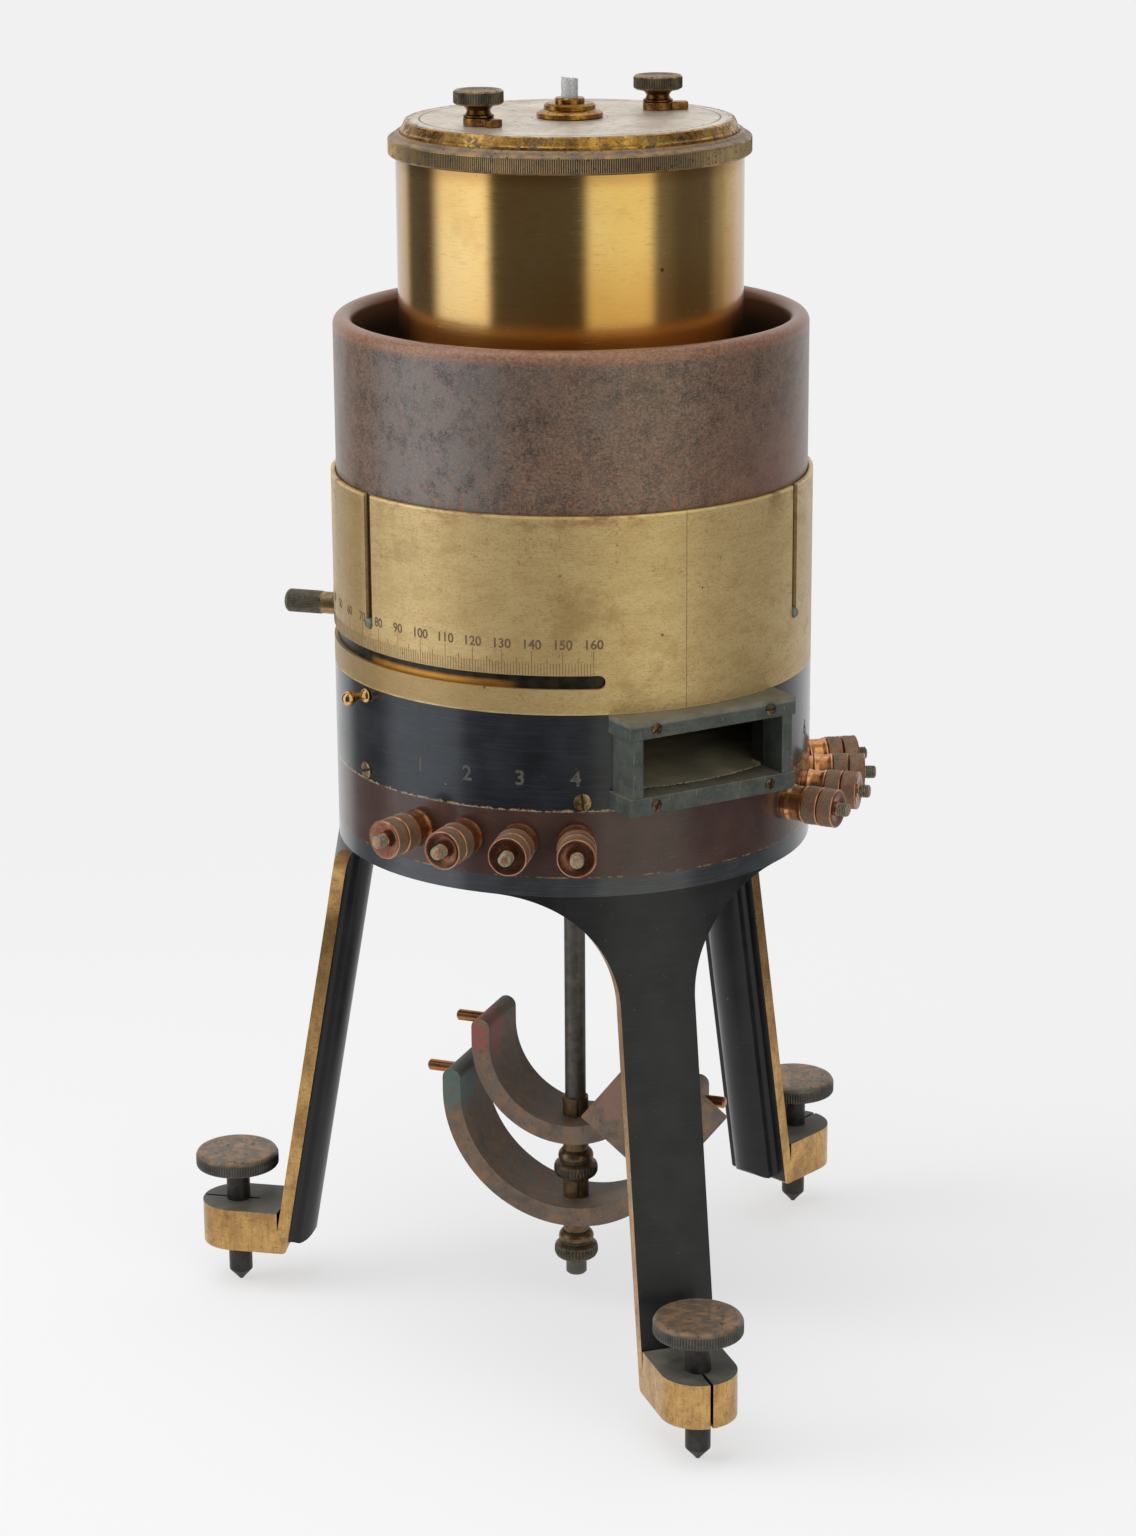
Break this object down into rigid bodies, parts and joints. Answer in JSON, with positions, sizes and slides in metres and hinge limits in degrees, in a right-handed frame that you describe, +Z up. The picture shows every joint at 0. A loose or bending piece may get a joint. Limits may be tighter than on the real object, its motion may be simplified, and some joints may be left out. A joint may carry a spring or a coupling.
{
  "type": "reflecting galvanometer",
  "caption": "Cylindrical brass and iron mirror galvanometer on a tripod with levelling screws and directing magnets.",
  "frame": {"origin": "on the instrument's vertical axis, at the level of the three foot tips", "axes": "+Z up along the instrument's axis; -Y towards the light window; +X to its right-hand terminals"},
  "size_m": [0.2429, 0.2383, 0.4396],
  "materials": {
    "black_base": "black lacquer on brass, satin",
    "ring_vulcanite": "dark brown hard rubber, polished",
    "housing_lacquer": "blue-black lacquer with a worn lower edge",
    "sleeve_brass": "dull olive-gold lacquered brass",
    "window_bronze": "dark grey-green bronzed brass",
    "screw_brass": "tarnished brass",
    "polished_brass": "lacquered brass, polished",
    "dark_brass": "brass with dark patina",
    "rusty_iron": "brown rusted iron",
    "dark_steel": "blackened steel",
    "silvered_plate": "silvered brass, tarnished",
    "frosted_glass": "frosted glass, broken edge",
    "latch_copper": "copper-toned brass",
    "coil_silk": "silk-covered copper winding, shellacked",
    "stem_metal": "bright aluminium",
    "mirror_glass": "silvered glass",
    "terminal_copper": "copper-toned brass with verdigris",
    "leg_lacquer": "black lacquer, bare brass edges",
    "foot_bronze": "mottled brown brass",
    "dark_rod": "dark bronzed steel",
    "pin_copper": "copper-toned brass"
  },
  "bodies": {
    "case": {"base_plate": "black_base", "coil_frame": "ring_vulcanite", "coils": "coil_silk", "deck_plate": "sleeve_brass", "front_leg": "leg_lacquer", "housing": "housing_lacquer", "housing_screws": "screw_brass", "inner_can": "polished_brass", "inner_shield": "rusty_iron", "lead_wires": "terminal_copper", "left_leg": "leg_lacquer", "leg_screws": "screw_brass", "lock_nuts": "terminal_copper", "magnet_rod": "dark_rod", "right_leg": "leg_lacquer", "scale_sleeve": "sleeve_brass", "terminal_ring": "ring_vulcanite", "terminal_studs": "terminal_copper", "top_bezel": "polished_brass", "top_plate": "silvered_plate", "torsion_hub": "polished_brass", "window_bottom_bar": "window_bronze", "window_left_cheek": "window_bronze", "window_right_cheek": "window_bronze", "window_screws": "screw_brass", "window_top_bar": "window_bronze"},
    "front_foot": {"front_foot_screw": "foot_bronze"},
    "right_foot": {"right_foot_screw": "foot_bronze"},
    "left_foot": {"left_foot_screw": "foot_bronze"},
    "index": {"index_ring": "polished_brass", "index_handle": "dark_brass"},
    "shield": {"iron_shield": "rusty_iron", "shield_pins": "dark_steel"},
    "lid": {"lid_ring": "dark_brass"},
    "torsion": {"torsion_head": "polished_brass", "glass_tube": "frosted_glass"},
    "left_latch_screw": {"left_thumbscrew": "dark_brass", "left_latch": "latch_copper"},
    "right_latch_screw": {"right_thumbscrew": "dark_brass", "right_latch": "latch_copper"},
    "suspension": {"needle_stem": "stem_metal", "mirror": "mirror_glass"},
    "upper_clamp": {"upper_collet": "dark_brass"},
    "lower_clamp": {"lower_collet": "dark_brass"},
    "upper_pair": {"upper_magnet": "rusty_iron", "upper_pins": "pin_copper", "keeper_plate": "rusty_iron"},
    "lower_pair": {"lower_magnet": "rusty_iron", "lower_pins": "pin_copper"},
    "upper_nut": {"upper_clamp_nut": "dark_rod"},
    "lower_nut": {"lower_clamp_nut": "dark_rod"},
    "arrest": {"arrest_knob": "polished_brass"},
    "terminal_nut_1_body": {"terminal_nut_1": "terminal_copper"},
    "terminal_nut_2_body": {"terminal_nut_2": "terminal_copper"},
    "terminal_nut_3_body": {"terminal_nut_3": "terminal_copper"},
    "terminal_nut_4_body": {"terminal_nut_4": "terminal_copper"},
    "terminal_nut_5_body": {"terminal_nut_5": "terminal_copper"},
    "terminal_nut_6_body": {"terminal_nut_6": "terminal_copper"},
    "terminal_nut_7_body": {"terminal_nut_7": "terminal_copper"},
    "terminal_nut_8_body": {"terminal_nut_8": "terminal_copper"}
  },
  "joints": [
    {"name": "front_foot_height", "type": "slide", "parent": "case", "child": "front_foot", "axis": [0, 0, 1], "range_m": [-0.01, 0.009]},
    {"name": "right_foot_height", "type": "slide", "parent": "case", "child": "right_foot", "axis": [0, 0, 1], "range_m": [-0.01, 0.009]},
    {"name": "left_foot_height", "type": "slide", "parent": "case", "child": "left_foot", "axis": [0, 0, 1], "range_m": [-0.01, 0.009]},
    {"name": "index_turn", "type": "hinge", "parent": "case", "child": "index", "pos_m": [0, 0, 0.2556], "axis": [0, 0, 1], "range_deg": [0, 113.5]},
    {"name": "shield_lift", "type": "slide", "parent": "case", "child": "shield", "axis": [0, 0, 1], "range_m": [0, 0.05]},
    {"name": "lid_ring_turn", "type": "hinge", "parent": "case", "child": "lid", "pos_m": [0, 0, 0.418], "axis": [0, 0, 1], "range_deg": [-360, 360]},
    {"name": "torsion_turn", "type": "hinge", "parent": "case", "child": "torsion", "pos_m": [0, 0, 0.43], "axis": [0, 0, 1], "continuous": true},
    {"name": "left_latch_turn", "type": "hinge", "parent": "case", "child": "left_latch_screw", "pos_m": [-0.03591, -0.00251, 0.428], "axis": [0, 0, 1], "range_deg": [-90, 90]},
    {"name": "right_latch_turn", "type": "hinge", "parent": "case", "child": "right_latch_screw", "pos_m": [0.03591, 0.00251, 0.428], "axis": [0, 0, 1], "range_deg": [-90, 90]},
    {"name": "needle_swing", "type": "hinge", "parent": "case", "child": "suspension", "pos_m": [0, 0, 0.3], "axis": [0, 0, 1], "range_deg": [-20, 20], "stiffness_Nm_per_rad": 0.00002},
    {"name": "upper_magnet_height", "type": "slide", "parent": "case", "child": "upper_clamp", "axis": [0, 0, 1], "range_m": [0, 0.06]},
    {"name": "lower_magnet_height", "type": "slide", "parent": "case", "child": "lower_clamp", "axis": [0, 0, 1], "range_m": [-0.005, 0]},
    {"name": "upper_magnet_turn", "type": "hinge", "parent": "upper_clamp", "child": "upper_pair", "pos_m": [0, 0, 0.071], "axis": [0, 0, 1], "continuous": true},
    {"name": "lower_magnet_turn", "type": "hinge", "parent": "lower_clamp", "child": "lower_pair", "pos_m": [0, 0, 0.04], "axis": [0, 0, 1], "continuous": true},
    {"name": "upper_nut_turn", "type": "hinge", "parent": "upper_clamp", "child": "upper_nut", "pos_m": [0, 0, 0.055], "axis": [0, 0, 1], "continuous": true},
    {"name": "lower_nut_turn", "type": "hinge", "parent": "lower_clamp", "child": "lower_nut", "pos_m": [0, 0, 0.024], "axis": [0, 0, 1], "continuous": true},
    {"name": "arrest_pull", "type": "slide", "parent": "case", "child": "arrest", "axis": [-0.9994, -0.0349, 0], "range_m": [0, 0.003]},
    {"name": "terminal_1_open", "type": "slide", "parent": "case", "child": "terminal_nut_1_body", "axis": [-0.9343, -0.3566, 0], "range_m": [0, 0.0035]},
    {"name": "terminal_2_open", "type": "slide", "parent": "case", "child": "terminal_nut_2_body", "axis": [-0.8314, -0.5557, 0], "range_m": [0, 0.0035]},
    {"name": "terminal_3_open", "type": "slide", "parent": "case", "child": "terminal_nut_3_body", "axis": [-0.6867, -0.7269, 0], "range_m": [0, 0.0035]},
    {"name": "terminal_4_open", "type": "slide", "parent": "case", "child": "terminal_nut_4_body", "axis": [-0.5075, -0.8616, 0], "range_m": [0, 0.0035]},
    {"name": "terminal_5_open", "type": "slide", "parent": "case", "child": "terminal_nut_5_body", "axis": [0.5075, -0.8616, 0], "range_m": [0, 0.0035]},
    {"name": "terminal_6_open", "type": "slide", "parent": "case", "child": "terminal_nut_6_body", "axis": [0.6867, -0.7269, 0], "range_m": [0, 0.0035]},
    {"name": "terminal_7_open", "type": "slide", "parent": "case", "child": "terminal_nut_7_body", "axis": [0.8314, -0.5557, 0], "range_m": [0, 0.0035]},
    {"name": "terminal_8_open", "type": "slide", "parent": "case", "child": "terminal_nut_8_body", "axis": [0.9343, -0.3566, 0], "range_m": [0, 0.0035]}
  ],
  "couplings": [
    {"joint": "lower_magnet_turn", "follows": "upper_magnet_turn", "ratio": 1}
  ]
}
